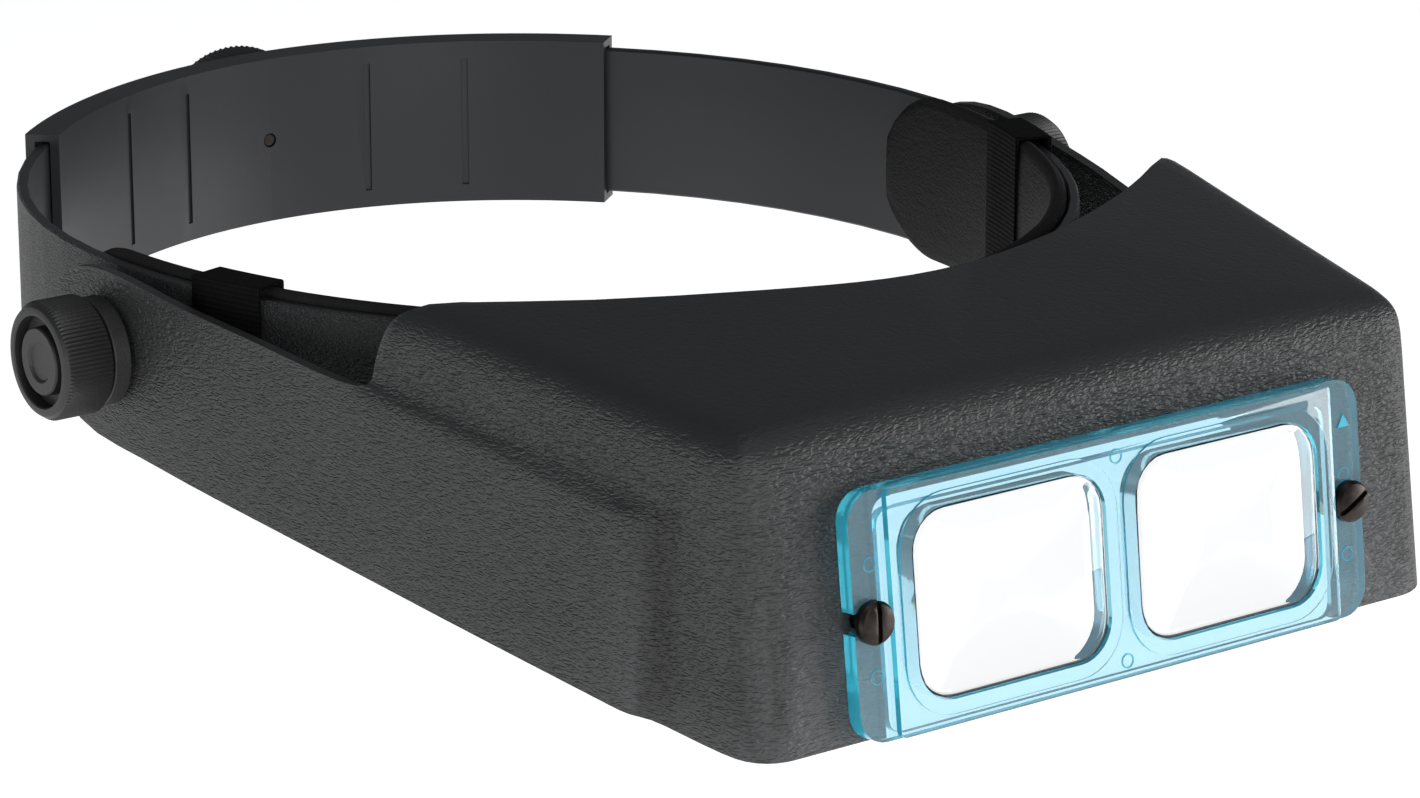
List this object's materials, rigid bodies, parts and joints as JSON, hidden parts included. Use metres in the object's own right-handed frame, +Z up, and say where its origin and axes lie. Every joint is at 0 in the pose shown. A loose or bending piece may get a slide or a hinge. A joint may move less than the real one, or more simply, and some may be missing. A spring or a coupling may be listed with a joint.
{
  "type": "head visor magnifier",
  "caption": "Head-worn visor with a clear plate of paired rectangular lenses, tilting on friction knobs at an adjustable headband with a leather sweatband.",
  "frame": {"origin": "middle of the headband's loop, at half the strap's height, where the head goes", "axes": "+Z up as worn; the wearer looks along -Y; +X is the right-hand side of a picture taken from the front"},
  "size_m": [0.2212, 0.2831, 0.0582],
  "materials": {
    "band_plastic": "satin moulded strap",
    "shell_plastic": "moulded leather grain",
    "knob_plastic": "satin black",
    "leather": "smooth, worn",
    "elastic": "woven black",
    "clear_plastic": "polished clear cyan",
    "glass": "polished",
    "dark_bronze": "blackened bronze",
    "brass": "turned",
    "steel": "zinc plated",
    "fibre": "pressed fibre"
  },
  "bodies": {
    "headband": {"headband": "band_plastic", "rear_channel": "band_plastic", "clamp_plate": "steel", "rear_bolt": "dark_bronze", "rear_spacer": "knob_plastic", "sweatband": "leather", "keeper_loop_left": "elastic", "keeper_loop_right": "elastic", "pivot_bolt_left": "steel", "pivot_bolt_right": "steel", "friction_washer_left": "fibre", "friction_washer_right": "fibre"},
    "visor": {"visor_shell": "shell_plastic", "lens_plate": "clear_plastic", "lens_left": "glass", "lens_right": "glass", "plate_nut_left": "brass", "plate_nut_right": "brass"},
    "left_knob": {"pivot_knob_left": "knob_plastic", "knob_insert_left": "brass", "knob_washer_left": "knob_plastic"},
    "right_knob": {"pivot_knob_right": "knob_plastic", "knob_insert_right": "brass", "knob_washer_right": "knob_plastic"},
    "rear_knob": {"rear_knob": "knob_plastic", "rear_knob_insert": "brass"},
    "left_screw": {"plate_screw_left": "dark_bronze"},
    "right_screw": {"plate_screw_right": "dark_bronze"}
  },
  "joints": [
    {"name": "visor_tilt", "type": "hinge", "parent": "headband", "child": "visor", "pos_m": [0, -0.012, 0.001], "axis": [-1, 0, 0], "range_deg": [-12, 75]},
    {"name": "left_knob_turn", "type": "hinge", "parent": "headband", "child": "left_knob", "pos_m": [-0.105, -0.012, 0.001], "axis": [-1, 0, 0], "range_deg": [0, 270]},
    {"name": "right_knob_turn", "type": "hinge", "parent": "headband", "child": "right_knob", "pos_m": [0.105, -0.012, 0.001], "axis": [1, 0, 0], "range_deg": [0, 270]},
    {"name": "rear_knob_turn", "type": "hinge", "parent": "headband", "child": "rear_knob", "pos_m": [0.00614, 0.11216, -0.001], "axis": [0.0695, 0.9976, 0], "range_deg": [0, 270]},
    {"name": "left_screw_turn", "type": "hinge", "parent": "visor", "child": "left_screw", "pos_m": [-0.05, -0.16212, -0.0154], "axis": [0, -0.9925, 0.1219], "range_deg": [0, 180]},
    {"name": "right_screw_turn", "type": "hinge", "parent": "visor", "child": "right_screw", "pos_m": [0.05, -0.16212, -0.0154], "axis": [0, -0.9925, 0.1219], "range_deg": [0, 180]}
  ]
}
